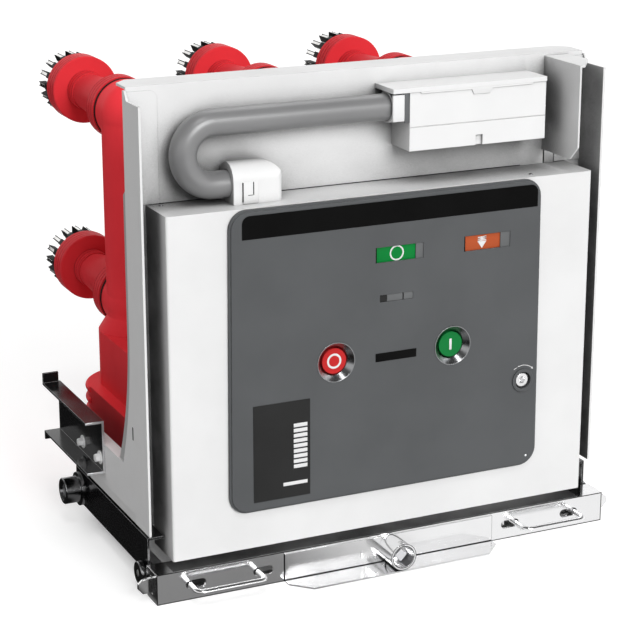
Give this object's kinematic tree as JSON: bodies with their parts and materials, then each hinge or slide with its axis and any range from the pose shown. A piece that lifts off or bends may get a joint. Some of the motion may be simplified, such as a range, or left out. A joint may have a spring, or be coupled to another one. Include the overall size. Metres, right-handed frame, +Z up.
{
  "type": "vacuum circuit breaker",
  "caption": "Withdrawable indoor vacuum circuit breaker with red epoxy poles, finger contacts, white frame and cover, operating panel and a racking truck with latch handles.",
  "frame": {"origin": "centre of the footprint at floor level", "axes": "+X to the right seen from the operating panel, +Y to the back towards the contacts, +Z up"},
  "size_m": [0.692, 0.664, 0.632],
  "materials": {
    "white_powder_coat": "smooth white powder coat",
    "grey_panel": "satin dark grey moulded plastic",
    "black_gloss": "gloss black film",
    "green_flag": "green flag behind a clear window",
    "orange_flag": "orange flag behind a clear window",
    "polished_steel": "bright polished steel",
    "red_button": "red moulded button with a white ring",
    "green_button": "green moulded button with a white bar",
    "red_epoxy": "red cast epoxy, half gloss",
    "black_rubber": "black sealing ring",
    "silver_plated_copper": "silver plated contact fingers",
    "white_plastic": "white moulded plastic",
    "grey_hose": "smooth grey corrugation-free hose",
    "black_paint": "black half-gloss paint",
    "wheel_steel": "blackened steel",
    "zinc_steel": "zinc plated steel"
  },
  "bodies": {
    "breaker": {"back_plate": "white_powder_coat", "left_side_plate": "white_powder_coat", "right_side_plate": "white_powder_coat", "frame_gussets": "white_powder_coat", "base_plate": "white_powder_coat", "mechanism_housing": "white_powder_coat", "front_cover": "white_powder_coat", "control_panel": "grey_panel", "panel_strip": "black_gloss", "name_plate": "black_gloss", "legend_plate": "black_gloss", "state_window": "green_flag", "spring_window": "orange_flag", "counter_window": "black_gloss", "button_bowls": "polished_steel", "charging_socket": "grey_panel", "left_pole": "red_epoxy", "middle_pole": "red_epoxy", "right_pole": "red_epoxy", "contact_sleeves": "red_epoxy", "sleeve_gaskets": "black_rubber", "tulip_contacts": "silver_plated_copper", "plug_box": "white_plastic", "hose": "grey_hose", "hose_elbow": "white_plastic", "plug_guard": "white_powder_coat", "side_rails": "black_paint", "rear_crossmember": "black_paint", "side_brackets": "black_paint", "wheel_axles": "zinc_steel", "screw_nut": "zinc_steel"},
    "front_beam_unit": {"front_beam": "polished_steel", "lip_plate": "polished_steel", "crank_tube": "polished_steel", "slide_bars": "zinc_steel"},
    "lead_screw": {"lead_screw": "zinc_steel"},
    "left_handle": {"left_handle": "polished_steel"},
    "right_handle": {"right_handle": "polished_steel"},
    "open_button": {"open_button": "red_button"},
    "close_button": {"close_button": "green_button"},
    "charging_shaft": {"charging_shaft": "zinc_steel"},
    "front_left_wheel": {"front_left_wheel": "wheel_steel"},
    "front_right_wheel": {"front_right_wheel": "wheel_steel"},
    "rear_left_wheel": {"rear_left_wheel": "wheel_steel"},
    "rear_right_wheel": {"rear_right_wheel": "wheel_steel"}
  },
  "joints": [
    {"name": "racking_slide", "type": "slide", "parent": "breaker", "child": "front_beam_unit", "axis": [0, -1, 0], "range_m": [0, 0.2]},
    {"name": "screw_turn", "type": "hinge", "parent": "front_beam_unit", "child": "lead_screw", "pos_m": [0, -0.28, 0.02025], "axis": [0, 1, 0], "continuous": true},
    {"name": "left_latch_slide", "type": "slide", "parent": "front_beam_unit", "child": "left_handle", "axis": [1, 0, 0], "range_m": [0, 0.015], "stiffness_N_per_m": 400},
    {"name": "right_latch_slide", "type": "slide", "parent": "front_beam_unit", "child": "right_handle", "axis": [-1, 0, 0], "range_m": [0, 0.015], "stiffness_N_per_m": 400},
    {"name": "open_button_push", "type": "slide", "parent": "breaker", "child": "open_button", "axis": [0, 1, 0], "range_m": [0, 0.005], "stiffness_N_per_m": 800},
    {"name": "close_button_push", "type": "slide", "parent": "breaker", "child": "close_button", "axis": [0, 1, 0], "range_m": [0, 0.005], "stiffness_N_per_m": 800},
    {"name": "charging_shaft_turn", "type": "hinge", "parent": "breaker", "child": "charging_shaft", "pos_m": [0.1955, -0.28, 0.2175], "axis": [0, 1, 0], "continuous": true},
    {"name": "front_left_wheel_turn", "type": "hinge", "parent": "breaker", "child": "front_left_wheel", "pos_m": [-0.3235, -0.239, 0.023], "axis": [1, 0, 0], "continuous": true},
    {"name": "rear_left_wheel_turn", "type": "hinge", "parent": "breaker", "child": "rear_left_wheel", "pos_m": [-0.333, 0, 0.0493], "axis": [1, 0, 0], "continuous": true},
    {"name": "front_right_wheel_turn", "type": "hinge", "parent": "breaker", "child": "front_right_wheel", "pos_m": [0.3235, -0.239, 0.023], "axis": [1, 0, 0], "continuous": true},
    {"name": "rear_right_wheel_turn", "type": "hinge", "parent": "breaker", "child": "rear_right_wheel", "pos_m": [0.333, 0, 0.0493], "axis": [1, 0, 0], "continuous": true}
  ],
  "couplings": [
    {"joint": "screw_turn", "follows": "racking_slide", "rad_per_m": 628.32}
  ]
}
